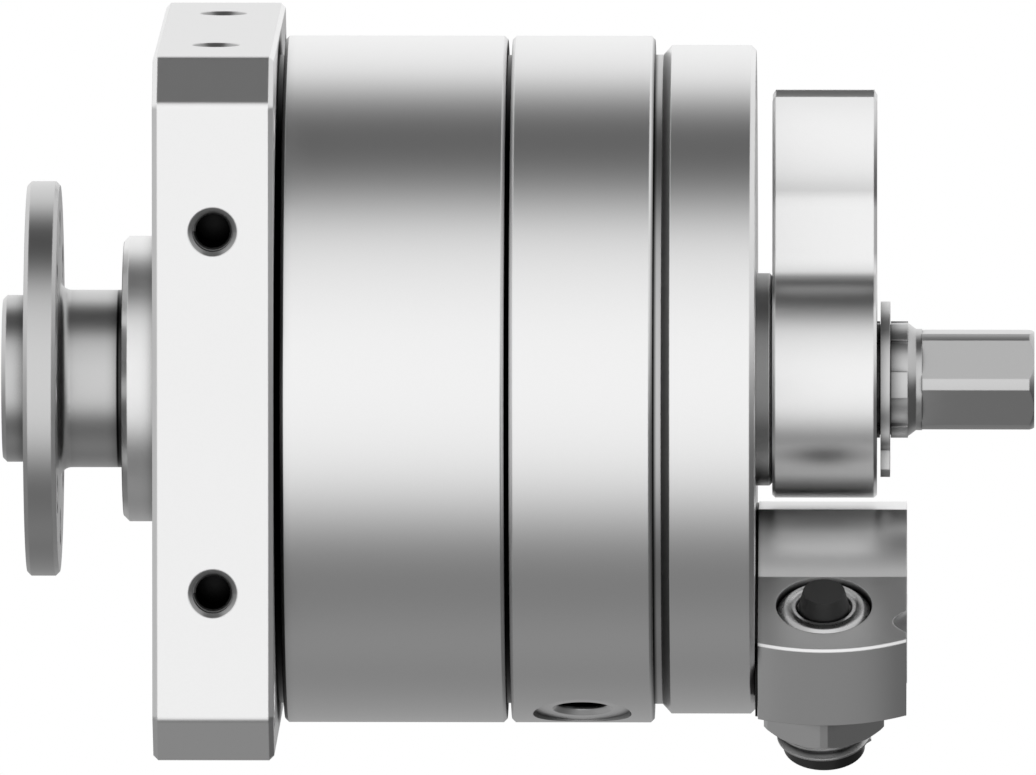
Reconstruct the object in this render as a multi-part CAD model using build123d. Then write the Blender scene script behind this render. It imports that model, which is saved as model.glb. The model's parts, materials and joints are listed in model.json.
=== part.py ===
from build123d import *
from math import asin, cos, degrees, radians, sin, sqrt, tan
import os

# A pneumatic semi-rotary actuator with one vane, an output flange and two cushioned end stops.
# Millimetres. X runs along the shaft from the output flange to the hexagon end, Z is up, and the
# front face of the mounting plate is X = 0. The vane and the stop lever stand mid-travel, at +Z.
# Front is the flange's end. Left is the -Y side, as seen from the hexagon's end.

# Fits, all radial or on one side
seat_gap = 0.02           # between pieces that are fixed together
running_gap = 0.05        # between a turning or sliding piece and what carries it
needle_gap = 0.03         # on each side of a needle
spline_gap = 0.03
seal_gap = 0.05           # between a sealing edge and the face that it wipes
shaft_clearance = 0.35    # where the shaft only passes through
chamber_gap = 0.3         # between the bare vane and the chamber's walls
separator_gap = 0.15      # between the separator and the vane's hub
head_gap = 0.2
shank_gap = 0.2

# Mounting plate
plate_margin = 0.65       # how far the flat sides stand out past the shells
plate_thickness = 10.0
plate_corner_cut = 3.7
plate_corner_round = 0.8
plate_edge = 0.4
plate_hole_inset = 5.25
plate_hole_diameter = 5.5
pilot_diameter = 23.8
pilot_length = 3.0
pilot_edge = 0.5
side_hole_spacing = 30.0
side_hole_diameter = 3.3
side_hole_mouth = 4.1
side_hole_depth = 8.0
web_thickness = 2.0       # between the wiper's seat and the front bearing's pocket

# Housing shells, split line and rear ring
head_rim = 2.05           # the shells' wall outside the long screws' heads
housing_edge = 0.3
plate_gap = 0.5
split_gap = 0.4
gap_depth = 1.6           # how far these two narrow gaps run in from the outside
front_housing_length = 18.5
rear_housing_length = 11.85
front_wall = 4.0
rear_wall = 4.35
ring_step = 0.75          # from the shells down to the ring
ring_length = 7.0
ring_edge = 0.4
groove_depth = 0.8
groove_length = 1.42
groove_flat = 0.7

# Vane chamber
chamber_diameter = 40.0
vane_hub_diameter = 20.0
vane_thickness = 6.0
seal_width = 2.0
seal_depth = 2.0
separator_port_angle = 0.45   # from the separator's side to a port's passage, in degrees
separator_pin_diameter = 2.5
separator_pin_wall = 0.4  # between the separator's pins and its sides
separator_pin_inset = 3.7
separator_pin_depth = 2.5
washer_thickness = 1.0
washer_bore_gap = 0.4     # round the vane's seat
gasket_land = 0.6         # between the chamber and the gasket
gasket_width = 1.0
gasket_thickness = 1.0

# Air ports in the rear shell
port_angle = 18.75        # either side of straight down
port_from_split = 5.9
port_face_diameter = 8.2
port_face_depth = 0.45
port_mouth = 5.0
port_diameter = 4.2
port_depth = 5.5
port_passage_diameter = 3.0

# Shaft, front to rear
spigot_diameter = 13.9
spigot_length = 2.04
flange_diameter = 32.9
flange_thickness = 2.7
flange_edge = 0.35
flange_standoff = 8.33    # from the plate's front face to the flange's back
flange_hole_circle = 25.0
flange_hole_count = 8
flange_hole_diameter = 3.3
neck_diameter = 14.8
neck_root = 1.0
neck_end = 0.6
journal_diameter = 14.0
vane_seat_diameter = 13.6
rear_seal_diameter = 13.0
rear_journal_diameter = 12.0
spacer_seat_diameter = 11.2
spline_diameter = 9.9
spline_core_diameter = 9.44
spline_count = 6
spline_land_angle = 26.0
spline_tail = 1.48
cone_length = 0.67
collar_diameter = 8.45
collar_length = 0.5
hexagon = 8.0
hexagon_corner_diameter = 8.75
hexagon_length = 9.35
hexagon_edge = 0.4
centre_mouth = 4.2
centre_drill = 2.0
centre_depth = 4.5
key_width = 4.0
key_height = 4.0
key_length = 12.0
key_depth = 2.5

# Bearings
needle_count = 12
front_needle_diameter = 2.0
rear_needle_diameter = 2.5
cup_wall = 1.0
cup_lip = 0.5
cage_wall = 0.9
cage_rim = 0.5
cage_play = 0.1
front_cup_length = 8.0
rear_cup_length = 5.2
cup_play = 0.2            # between a cup and the end of its pocket

# Seals on the shaft
wiper_length = 2.0
wiper_diameter = 20.8
seal_length = 2.0
front_seal_diameter = 18.4
rear_seal_seat_diameter = 17.4

# Spacer, stop lever and its retaining ring
spacer_diameter = 17.7
spacer_reach = 1.37       # how far it stands out of the ring
spacer_depth = 1.6
spacer_clearance = 0.25
lever_thickness = 8.7
lever_hub_diameter = 19.7
lever_reach = 23.96
lobe_radius = 12.4
lobe_half_width = 4.06
lobe_height = 19.18
waist_height = 15.5
waist_taper = 5.6
lever_fillet = 3.7
tip_scoop_radius = 4.5
lever_edge = 0.25
circlip_play = 0.31
circlip_thickness = 0.8
circlip_diameter = 13.0
circlip_lug_drop = 7.9
circlip_lug_half_width = 3.3
circlip_gap = 1.4
circlip_lug_cut = 0.7
circlip_hole_diameter = 1.3
circlip_groove_depth = 0.35
groove_play = 0.05
snap_ring_thickness = 0.8
snap_ring_diameter = 16.6
snap_ring_recess = 1.2
snap_ring_gap = 3.0

# Stop carrier and stops. Beside a stop, r points away from the shaft and t along the stop, towards
# the lever; both start at the shaft's axis.
stop_angle = 30.0
stop_radius = 19.5
carrier_width = 12.33
carrier_gap = 0.25
carrier_top = -10.55
carrier_top_half_width = 3.25
carrier_shoulder_end = 15.5
carrier_shoulder_radius = 16.4
carrier_mouth = -9.1
carrier_underside = -16.8
carrier_reach = 25.9
carrier_bulge_radius = 17.0
carrier_edge = 0.2
rib_top = -12.65
rib_height = 2.4
rib_half_length = 5.0
dimple_offset = 2.3
dimple_drop = 1.7
dimple_mouth = 4.6
dimple_bore = 2.2
dimple_depth = 2.2
stop_thread_diameter = 8.0
sleeve_face = -9.2
sleeve_length = 14.4
sleeve_lead = 0.65
sleeve_tail_edge = 0.5
sleeve_bore = 5.3
sleeve_bore_depth = 6.8
sleeve_socket = 4.0
sleeve_socket_depth = 3.6
buffer_reach = 1.5        # how far it stands out of the sleeve
buffer_tip_diameter = 3.5
buffer_diameter = 4.2
buffer_foot_length = 2.0
nut_width = 10.0
nut_height = 3.4
nut_corner_diameter = 11.2
nut_edge = 0.5
nut_gap = 0.08

# Screws and dowel pins: shank, head diameter, head height, socket across flats
m3 = (3.0, 5.5, 3.0, 2.5)
m4 = (4.0, 7.0, 4.0, 3.0)
screw_edge = 0.3
screw_land = 0.3          # between the gasket and the four long screws through the shells
ring_screw_land = 1.5     # between the chamber and the ring's four screws
head_depth = 0.2          # how far a head lies below the face
screw_grip = 6.0
carrier_screw_drop = 14.6
dowel_diameter = 3.0
dowel_spread = 11.0
dowel_drop = 17.0
dowel_depth = 5.0

# Stations along the shaft
housing_start = plate_thickness + plate_gap
split_front = housing_start + front_housing_length
split_rear = split_front + split_gap
rear_face = split_rear + rear_housing_length
ring_start = rear_face + groove_length
ring_face = ring_start + ring_length
chamber_start = housing_start + front_wall
chamber_end = rear_face - rear_wall
hub_start = chamber_start + washer_thickness + running_gap
hub_end = chamber_end - washer_thickness - running_gap
port_station = split_rear + port_from_split
spacer_start = ring_face - spacer_depth
lever_start = ring_face + spacer_reach
lever_end = lever_start + lever_thickness
lever_middle = (lever_start + lever_end) / 2
circlip_start = lever_end + circlip_play
circlip_end = circlip_start + circlip_thickness
spline_end = circlip_end + spline_tail
collar_start = spline_end + cone_length
hexagon_start = collar_start + collar_length
hexagon_end = hexagon_start + hexagon_length
flange_back = -flange_standoff
flange_front = flange_back - flange_thickness
spigot_front = flange_front - spigot_length
carrier_start = ring_face + carrier_gap
carrier_end = carrier_start + carrier_width
pocket_front = -pilot_length + wiper_length + web_thickness
front_cup_start = pocket_front + cup_play
rear_cup_start = spacer_start - cup_play - spacer_clearance - rear_cup_length
front_seal_start = chamber_start - front_wall / 2 - seal_length / 2
rear_seal_start = chamber_end + rear_wall / 2 - seal_length / 2
snap_ring_start = hub_end - snap_ring_recess + groove_play
key_middle = (hub_start + hub_end) / 2

# Sizes across that follow from the ones above
gasket_bore = chamber_diameter + 2 * gasket_land
gasket_diameter = gasket_bore + 2 * gasket_width
screw_circle = gasket_diameter + 2 * screw_land + m3[0] + 2 * shank_gap
ring_screw_circle = chamber_diameter + 2 * ring_screw_land + m3[0]
separator_pin_drop = chamber_diameter / 2 - separator_pin_inset
passage_angle = degrees(asin(port_passage_diameter / chamber_diameter))
separator_half_angle = port_angle - passage_angle - separator_port_angle
separator_pin_offset = (
    separator_pin_drop * tan(radians(separator_half_angle))
    - (separator_pin_diameter / 2 + seat_gap + separator_pin_wall) / cos(radians(separator_half_angle)))
washer_bore = vane_seat_diameter + 2 * washer_bore_gap
housing_diameter = screw_circle + m3[1] + 2 * head_gap + 2 * head_rim
ring_diameter = housing_diameter - 2 * ring_step
groove_diameter = ring_diameter - 2 * groove_depth
plate_width = housing_diameter + 2 * plate_margin
plate_hole_spacing = plate_width - 2 * plate_hole_inset
land_diameter = housing_diameter - 2 * gap_depth
blade_bottom = vane_hub_diameter / 2 + seal_gap
key_bottom = vane_seat_diameter / 2 - key_depth
key_top = key_bottom + key_height
circlip_groove_diameter = spline_diameter - 2 * circlip_groove_depth
snap_ring_groove_diameter = vane_seat_diameter - 2 * circlip_groove_depth
sleeve_end = sleeve_face - sleeve_length
sleeve_diameter = stop_thread_diameter - 2 * running_gap

upright = (Align.CENTER, Align.CENTER, Align.MIN)


def station(x, y=0.0, z=0.0):
    """A plane across the shaft that faces the rear: its own x is the model's Y, its own y is Z."""
    return Plane(origin=(x, y, z), x_dir=(0, 1, 0), z_dir=(1, 0, 0))


def spun(outline):
    """A body turned about X from a closed outline of (x, radius) points."""
    return revolve(make_face(Polyline(*outline, close=True)), Axis.X)


def ring(start, end, outer, inner=0.0, front_edge=0.0, rear_edge=0.0):
    """A turned ring from start to end, with chamfers on its outer edges. Sizes across are diameters."""
    outline = [(start, inner / 2), (start, outer / 2 - front_edge)]
    if front_edge:
        outline.append((start + front_edge, outer / 2))
    if rear_edge:
        outline.append((end - rear_edge, outer / 2))
    outline += [(end, outer / 2 - rear_edge), (end, inner / 2)]
    return spun(outline)


def rod(start, end, diameter, y=0.0, z=0.0):
    """A cylinder that runs along X from start to end."""
    return station(start, y, z) * Cylinder(diameter / 2, end - start, align=upright)


def slab(start, end, half_width, z_low, z_high):
    """A box between two stations, centred across the shaft."""
    centre = ((start + end) / 2, 0, (z_low + z_high) / 2)
    return Pos(*centre) * Box(end - start, 2 * half_width, z_high - z_low)


def around(circle, count, first_angle=0.0):
    """Points spaced on a circle about the shaft, as (y, z), counted from +Z."""
    angles = [radians(first_angle + 360 * i / count) for i in range(count)]
    return [(circle / 2 * sin(angle), circle / 2 * cos(angle)) for angle in angles]


def hexagon_prism(width, length):
    """A hexagon across flats, standing on its plane, with a corner on the plane's x axis."""
    return extrude(RegularPolygon(width / 2, 6, major_radius=False), length)


def cap_screw(size, length):
    """A socket head cap screw that points down, with its head standing on its plane."""
    shank, head, height, socket = size
    body = chamfer(Cylinder(head / 2, height, align=upright).edges().sort_by(Axis.Z)[-1], screw_edge)
    body += Pos(0, 0, -length) * chamfer(
        Cylinder(shank / 2, length, align=upright).edges().sort_by(Axis.Z)[0], screw_edge)
    return body - Pos(0, 0, height / 2) * hexagon_prism(socket, height)


def head_seat(face, size):
    """The station of a sunk screw head's underside, below this face."""
    return face - head_depth - size[2]


def head_hole(face, size, y, z):
    """The counterbore for a screw head."""
    return rod(head_seat(face, size), face, size[1] + 2 * head_gap, y, z)


def grouped(shapes):
    """Separate solids that share one node."""
    return Compound(children=[solid for shape in shapes for solid in shape.solids()])


def mirrored(shape):
    """The right-hand twin of a left-hand piece."""
    return mirror(shape, about=Plane.XZ)


def mounting_plate():
    """The square plate, with its pilot, the front bearing's pocket and all its holes."""
    profile = chamfer(Rectangle(plate_width, plate_width).vertices(), plate_corner_cut)
    profile = fillet(profile.vertices(), plate_corner_round)
    plate = extrude(station(0) * profile, plate_thickness)
    ends = plate.faces().sort_by(Axis.X)
    plate = chamfer(ends[0].edges() + ends[-1].edges(), plate_edge)
    plate += ring(-pilot_length, plate_edge, pilot_diameter, 0, pilot_edge)
    plate -= ring(-pilot_length, plate_thickness, neck_diameter + 2 * shaft_clearance)
    plate -= ring(-pilot_length, -pilot_length + wiper_length, wiper_diameter + 2 * seat_gap)
    plate -= ring(pocket_front, plate_thickness, cup_pocket(journal_diameter, front_needle_diameter))
    for y, z in around(plate_hole_spacing * sqrt(2), 4, 45):
        plate -= rod(0, plate_thickness, plate_hole_diameter, y, z)
    for y, z in around(screw_circle, 4, 45):
        plate -= rod(plate_thickness - screw_grip, plate_thickness, m3[0] + 2 * seat_gap, y, z)
    mouth_depth = (side_hole_mouth - side_hole_diameter) / 2
    drill = Cylinder(side_hole_diameter / 2, side_hole_depth, align=upright)
    drill += Pos(0, 0, side_hole_depth - mouth_depth) * Cone(
        side_hole_diameter / 2, side_hole_mouth / 2, mouth_depth, align=upright)
    for turn in range(4):
        for offset in (-side_hole_spacing / 2, side_hole_spacing / 2):
            place = Pos(plate_thickness / 2, offset, plate_width / 2 - side_hole_depth)
            plate -= Rot(90 * turn, 0, 0) * place * drill
    return plate


def front_housing():
    """The longer shell, with the front wall, a seal's seat and the gasket's groove."""
    body = ring(housing_start, split_front, housing_diameter, 0, housing_edge, housing_edge)
    body += ring(plate_thickness, split_rear, land_diameter)
    body -= ring(chamber_start, split_rear, chamber_diameter)
    body -= ring(plate_thickness, chamber_start, journal_diameter + 2 * shaft_clearance)
    body -= ring(front_seal_start, front_seal_start + seal_length, front_seal_diameter)
    body -= ring(split_rear - gasket_thickness, split_rear, gasket_diameter, gasket_bore)
    for y, z in around(screw_circle, 4, 45):
        body -= rod(plate_thickness, split_rear, m3[0] + 2 * shank_gap, y, z)
    return body - separator_pin_holes()


def rear_housing():
    """The shorter shell, with the rear wall and the two air ports."""
    body = ring(split_rear, rear_face, housing_diameter, 0, housing_edge, housing_edge)
    body -= ring(split_rear, chamber_end, chamber_diameter)
    body -= ring(chamber_end, rear_face, rear_seal_diameter + 2 * shaft_clearance)
    body -= ring(rear_seal_start, rear_seal_start + seal_length, rear_seal_seat_diameter)
    for y, z in around(screw_circle, 4, 45):
        body -= rod(split_rear, rear_face, m3[0] + 2 * shank_gap, y, z)
        body -= head_hole(rear_face, m3, y, z)
    for y, z in around(ring_screw_circle, 4):
        body -= rod(rear_face - screw_grip, rear_face, m3[0] + 2 * seat_gap, y, z)
    for side in (-1, 1):
        body -= port_cut(side)
    return body - separator_pin_holes()


def port_plane(side, radius):
    """A plane that faces outwards along a port, this far from the shaft's axis."""
    y, z = side * sin(radians(port_angle)), -cos(radians(port_angle))
    return Plane(origin=(port_station, radius * y, radius * z), x_dir=(1, 0, 0), z_dir=(0, y, z))


def port_cut(side):
    """A port's spot face, chamfer, thread bore and the passage into the chamber."""
    floor = housing_diameter / 2 - port_face_depth
    bottom = floor - port_depth
    mouth_depth = (port_mouth - port_diameter) / 2
    cut = port_plane(side, floor) * Cylinder(port_face_diameter / 2, 2 * port_face_depth, align=upright)
    cut += port_plane(side, floor - mouth_depth) * Cone(
        port_diameter / 2, port_mouth / 2, mouth_depth, align=upright)
    cut += port_plane(side, bottom) * Cylinder(port_diameter / 2, port_depth, align=upright)
    inside = chamber_diameter / 2 - port_passage_diameter / 2
    passage = Cylinder(port_passage_diameter / 2, bottom - inside, align=upright)
    return cut + port_plane(side, inside) * passage


def rear_ring():
    """The ring behind the shells: it holds the rear bearing and carries the stops."""
    neck, outer = groove_diameter / 2, ring_diameter / 2
    body = spun([
        (rear_face, 0), (rear_face, neck), (rear_face + groove_flat, neck), (ring_start, outer),
        (ring_face - ring_edge, outer), (ring_face, outer - ring_edge), (ring_face, 0),
    ])
    pocket_end = rear_cup_start + rear_cup_length + cup_play
    body -= ring(rear_face, pocket_end, cup_pocket(rear_journal_diameter, rear_needle_diameter))
    body -= ring(rear_face, ring_face, spacer_diameter + 2 * spacer_clearance)
    for y, z in around(ring_screw_circle, 4):
        body -= rod(rear_face, ring_face, m3[0] + 2 * shank_gap, y, z)
        body -= head_hole(ring_face, m3, y, z)
    body -= rod(ring_face - screw_grip, ring_face, m4[0] + 2 * seat_gap, 0, -carrier_screw_drop)
    for y in (-dowel_spread / 2, dowel_spread / 2):
        body -= rod(ring_face - dowel_depth, ring_face, dowel_diameter + 2 * seat_gap, y, -dowel_drop)
    return body


def housing_gasket():
    """The square-section gasket between the shells."""
    start = split_rear - gasket_thickness + seat_gap
    return ring(start, split_rear, gasket_diameter - 2 * seat_gap, gasket_bore + 2 * seat_gap)


def screws(size, face, circle, first_angle, foot):
    """Four cap screws on a circle, sunk into one face, with their feet at one station."""
    seat = head_seat(face, size)
    screw = cap_screw(size, seat - foot)
    return grouped([station(seat, y, z) * screw for y, z in around(circle, 4, first_angle)])


def centre_mark(x, towards):
    """The centre that is drilled into a shaft's end, cut from x along X towards 1 or -1."""
    depth = (centre_mouth - centre_drill) / 2 / tan(radians(30))
    cut = Cone(centre_mouth / 2, centre_drill / 2, depth, align=upright)
    cut += Cylinder(centre_drill / 2, centre_depth, align=upright)
    return Plane(origin=(x, 0, 0), x_dir=(0, 1, 0), z_dir=(towards, 0, 0)) * cut


def spline(gap, length):
    """The six-land spline, or with a gap the broach for its bore: lands are arcs of a larger circle."""
    core, land = spline_core_diameter / 2 + gap, spline_diameter / 2 + gap
    slope = tan(radians(spline_land_angle / 2) + asin(gap / core))
    reach = 2 * land
    wedge = make_face(Polyline((0, 0), (reach, -reach * slope), (reach, reach * slope), close=True))
    profile = Circle(core)
    for i in range(spline_count):
        profile += Circle(land) & Rot(0, 0, 360 / spline_count * i) * wedge
    return extrude(profile, length)


def drive_shaft():
    """Spigot, flange, neck, journals, vane seat, spline and hexagon, all cut from one bar."""
    spigot, flange, neck = spigot_diameter / 2, flange_diameter / 2, neck_diameter / 2
    seat_end = chamber_end - chamber_gap
    profile = make_face(Polyline(
        (spigot_front, 0), (spigot_front, spigot), (flange_front, spigot), (flange_front, flange),
        (flange_back, flange), (flange_back, neck), (neck_end, neck), (neck_end, journal_diameter / 2),
        (hub_start, journal_diameter / 2), (hub_start, vane_seat_diameter / 2),
        (seat_end, vane_seat_diameter / 2), (seat_end, rear_seal_diameter / 2),
        (rear_face, rear_seal_diameter / 2), (rear_face, rear_journal_diameter / 2),
        (spacer_start, rear_journal_diameter / 2), (spacer_start, spacer_seat_diameter / 2),
        (lever_start, spacer_seat_diameter / 2), (lever_start, spline_core_diameter / 2),
        (spline_end, spline_core_diameter / 2), (collar_start, collar_diameter / 2),
        (hexagon_start, collar_diameter / 2), (hexagon_start, 0), close=True))
    rims = [(spigot_front, spigot), (flange_front, flange), (flange_back, flange)]
    for x, radius in rims:
        profile = chamfer(profile.vertices().sort_by_distance((x, radius, 0))[0], flange_edge)
    profile = fillet(profile.vertices().sort_by_distance((flange_back, neck, 0))[0], neck_root)
    body = revolve(profile, Axis.X)
    body += station(lever_start) * spline(0, spline_end - lever_start)
    end = Cylinder(hexagon_corner_diameter / 2, hexagon_length, align=upright)
    end = chamfer(end.edges().sort_by(Axis.Z)[-1], hexagon_edge)
    body += station(hexagon_start) * (end & hexagon_prism(hexagon, hexagon_length))
    for y, z in around(flange_hole_circle, flange_hole_count):
        body -= rod(flange_front, flange_back, flange_hole_diameter, y, z)
    key_seat = SlotOverall(key_length + 2 * seat_gap, key_width + 2 * seat_gap)
    body -= extrude(key_plane() * key_seat, key_height)
    body -= groove(circlip_start, circlip_thickness, circlip_groove_diameter, spline_diameter)
    body -= groove(snap_ring_start, snap_ring_thickness, snap_ring_groove_diameter, vane_seat_diameter)
    return body - centre_mark(spigot_front, 1) - centre_mark(hexagon_end, -1)


def key_plane():
    """The bottom of the key's seat."""
    return Plane(origin=(key_middle, 0, key_bottom), x_dir=(1, 0, 0), z_dir=(0, 0, 1))


def groove(start, thickness, bottom, outer):
    """The cut for a retaining ring in the shaft, with a little play along it."""
    return ring(start - groove_play, start + thickness + groove_play, outer + 1, bottom)


def vane_key():
    """The round-ended key that turns the shaft with the vane."""
    return extrude(key_plane() * SlotOverall(key_length, key_width), key_height)


def seal_core(inset):
    """What the vane's seal runs round: the middle of the blade."""
    side = chamber_gap + seal_depth + inset
    core = slab(chamber_start + side, chamber_end - side, vane_thickness, 0, chamber_diameter / 2)
    return core & ring(chamber_start, chamber_end, chamber_diameter - 2 * side)


def rotary_vane():
    """The hub and blade, grooved round three sides of the blade for the seal."""
    half, top = vane_thickness / 2, chamber_diameter / 2
    body = ring(hub_start, hub_end, vane_hub_diameter)
    body += slab(hub_start, hub_end, half, 0, blade_bottom + seal_width)
    blade = slab(chamber_start + chamber_gap, chamber_end - chamber_gap, half, blade_bottom, top)
    body += blade & ring(chamber_start, chamber_end, chamber_diameter - 2 * chamber_gap)
    body -= ring(hub_start, hub_end, vane_seat_diameter + 2 * seat_gap)
    body -= ring(hub_end - snap_ring_recess, hub_end, snap_ring_diameter + 2 * chamber_gap)
    body -= slab(hub_start, hub_end, key_width / 2 + seat_gap, 0, key_top + seat_gap)
    slot = slab(chamber_start, chamber_end, seal_width / 2 + seat_gap, blade_bottom - seat_gap, top)
    return body - (slot - seal_core(seat_gap))


def vane_seal():
    """The flat rubber frame that wipes the chamber's bore and both walls."""
    start, end = chamber_start + seal_gap, chamber_end - seal_gap
    frame = slab(start, end, seal_width / 2, blade_bottom, chamber_diameter / 2)
    frame &= ring(start, end, chamber_diameter - 2 * seal_gap)
    return frame - seal_core(0)


def vane_snap_ring():
    """The split ring that keeps the vane on its seat."""
    end = snap_ring_start + snap_ring_thickness
    inner = snap_ring_groove_diameter + 2 * seat_gap
    body = ring(snap_ring_start, end, snap_ring_diameter, inner)
    return body - slab(snap_ring_start, end, snap_ring_gap / 2, -snap_ring_diameter, 0)


def separator():
    """The fixed wedge that closes the chamber behind the vane, slotted for its seal."""
    reach = chamber_diameter
    spread = reach * tan(radians(separator_half_angle))
    wedge = make_face(Polyline((0, 0), (spread, -reach), (-spread, -reach), close=True))
    start, end = chamber_start + seat_gap, chamber_end - seat_gap
    body = ring(start, end, chamber_diameter - 2 * seat_gap, vane_hub_diameter + 2 * separator_gap)
    body &= extrude(station(start) * wedge, end - start)
    body -= slab(start, end, seal_width / 2 + seat_gap, separator_slot_bottom() - seat_gap, 0)
    return body - separator_pin_holes()


def separator_slot_bottom():
    """How low the separator's seal reaches."""
    return -vane_hub_diameter / 2 - separator_gap - seal_depth


def separator_seal():
    """The strip that wipes the vane's hub."""
    start, end = chamber_start + seat_gap, chamber_end - seat_gap
    return slab(start, end, seal_width / 2, separator_slot_bottom(), -vane_hub_diameter / 2 - seal_gap)


def separator_pin_rods(diameter):
    """Two rods side by side through the separator and into both walls."""
    start, end = chamber_start - separator_pin_depth, chamber_end + separator_pin_depth
    offsets = (-separator_pin_offset, separator_pin_offset)
    return grouped([rod(start, end, diameter, y, -separator_pin_drop) for y in offsets])


def separator_pins():
    """The pins that hold the separator."""
    return separator_pin_rods(separator_pin_diameter)


def separator_pin_holes():
    """The holes for those pins, in all three pieces that they join."""
    return separator_pin_rods(separator_pin_diameter + 2 * seat_gap).solids()


def thrust_washer(start):
    """A flat ring that takes the vane's end thrust."""
    return ring(start, start + washer_thickness, vane_hub_diameter - 2 * chamber_gap, washer_bore)


def cup_pocket(journal, needle):
    """The pocket for a bearing cup, over the journal, the needles and the cup's wall."""
    return journal + 2 * needle + 2 * cup_wall + 2 * seat_gap


def bearing_cup(start, length, journal, needle):
    """A drawn cup: the outer race, with a lip turned in at each end."""
    end = start + length
    outer, race = journal / 2 + needle + cup_wall, journal / 2 + needle
    lip = journal / 2 + shaft_clearance
    return spun([
        (start, lip), (start, outer), (end, outer), (end, lip), (end - cup_lip, lip), (end - cup_lip, race),
        (start + cup_lip, race), (start + cup_lip, lip),
    ])


def needles(start, length, journal, needle):
    """One bearing's needles."""
    inset = cup_lip + cage_play + cage_rim + running_gap
    width = needle - 2 * needle_gap
    places = around(journal + needle, needle_count)
    return grouped([rod(start + inset, start + length - inset, width, y, z) for y, z in places])


def needle_cage(start, length, journal, needle):
    """The cage that keeps the needles apart, with a window for each."""
    first, last = start + cup_lip + cage_play, start + length - cup_lip - cage_play
    pitch = journal + needle
    low, high = pitch / 2 - cage_wall, pitch / 2 + cage_wall
    body = ring(first, last, pitch + cage_wall, pitch - cage_wall)
    window = slab(first + cage_rim, last - cage_rim, needle / 2 + running_gap, low, high)
    for i in range(needle_count):
        body -= Rot(360 / needle_count * i, 0, 0) * window
    return body


def shaft_seal(start, seat, shaft):
    """A sealing ring in its seat in a wall, close round the shaft."""
    return ring(start + seat_gap, start + seal_length - seat_gap, seat - 2 * seat_gap, shaft + 2 * seal_gap)


def wiper_seal():
    """The ring in the pilot that keeps dirt off the neck."""
    return ring(-pilot_length, -pilot_length + wiper_length, wiper_diameter, neck_diameter + 2 * seal_gap)


def lobe_half(z):
    """Half the lever's width at this height on its lobe."""
    return lobe_half_width - lobe_radius + sqrt(lobe_radius ** 2 - (z - lobe_height) ** 2)


def stop_lever():
    """The lever that swings between the stops: a hub, a waist and a lobe with a scooped tip."""
    waist, tip = lobe_half(waist_height), lobe_half(lever_reach)
    foot = waist + waist_height * tan(radians(waist_taper))
    scoop_bottom = lever_reach + sqrt(tip_scoop_radius ** 2 - tip ** 2) - tip_scoop_radius
    arm = make_face([
        Line((-foot, 0), (foot, 0)),
        Line((foot, 0), (waist, waist_height)),
        ThreePointArc((waist, waist_height), (lobe_half_width, lobe_height), (tip, lever_reach)),
        ThreePointArc((tip, lever_reach), (0, scoop_bottom), (-tip, lever_reach)),
        ThreePointArc((-tip, lever_reach), (-lobe_half_width, lobe_height), (-waist, waist_height)),
        Line((-waist, waist_height), (-foot, 0)),
    ])
    profile = Circle(lever_hub_diameter / 2) + arm
    roots = [v for v in profile.vertices() if abs(v.X) > waist and 0 < v.Y < waist_height]
    profile = fillet(roots, lever_fillet)
    body = extrude(station(lever_start) * profile, lever_thickness)
    ends = body.faces().sort_by(Axis.X)
    body = chamfer(ends[0].edges() + ends[-1].edges(), lever_edge)
    return body - station(lever_start) * spline(spline_gap, lever_thickness)


def lever_spacer():
    """The collar between the shaft's shoulder and the lever."""
    bore = spacer_seat_diameter + 2 * seat_gap
    return ring(spacer_start, lever_start, spacer_diameter, bore, 0, lever_edge)


def lever_circlip():
    """The retaining ring behind the lever, with its two drilled lugs hanging down."""
    half, gap, drop = circlip_lug_half_width, circlip_gap / 2, circlip_lug_drop
    corner = (half, circlip_lug_cut - drop)
    foot = (half - circlip_lug_cut, -drop)
    lug = make_face(Polyline((0, 0), (half, 0), corner, foot, (0, -drop), close=True))
    hole_z = -(drop + circlip_groove_diameter / 2) / 2
    lug -= Pos((half + gap) / 2, hole_z) * Circle(circlip_hole_diameter / 2)
    below = Pos(0, -circlip_diameter / 2) * Rectangle(2 * half, circlip_diameter)
    profile = (Circle(circlip_diameter / 2) - below) + lug + mirror(lug, about=Plane.YZ)
    profile -= Circle(circlip_groove_diameter / 2 + seat_gap)
    profile -= Pos(0, -drop / 2) * Rectangle(2 * gap, drop)
    return extrude(station(circlip_start) * profile, circlip_thickness)


def at_stop(r, t):
    """A point beside the right-hand stop, as (y, z)."""
    angle = radians(stop_angle)
    return r * cos(angle) + t * sin(angle), -r * sin(angle) + t * cos(angle)


def stop_plane(r, t):
    """A plane across the left stop that faces the lever. Its own x points away from the shaft."""
    angle = radians(stop_angle)
    y, z = at_stop(r, t)
    away, along = (0, -cos(angle), -sin(angle)), (0, -sin(angle), cos(angle))
    return Plane(origin=(lever_middle, -y, z), x_dir=away, z_dir=along)


def beside_stop(r, diameter):
    """A cylinder along the left stop at this r, longer than the carrier both ways."""
    reach = -2 * carrier_underside
    return stop_plane(r, -reach) * Cylinder(diameter / 2, reach, align=upright)


def carrier_outline():
    """The right half of the carrier, seen from behind, with a round shoulder down to its mouth."""
    angle = radians(stop_angle)
    top = (carrier_top_half_width, carrier_top)
    shoulder_end = at_stop(carrier_shoulder_end, carrier_mouth)
    outer, foot = at_stop(carrier_reach, carrier_mouth), at_stop(carrier_reach, carrier_underside)
    apex = (0, carrier_underside / cos(angle))
    return make_face([
        Line((0, carrier_top), top),
        RadiusArc(top, shoulder_end, carrier_shoulder_radius),
        Line(shoulder_end, outer),
        Line(outer, foot),
        Line(foot, apex),
        Line(apex, (0, carrier_top)),
    ])


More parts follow.
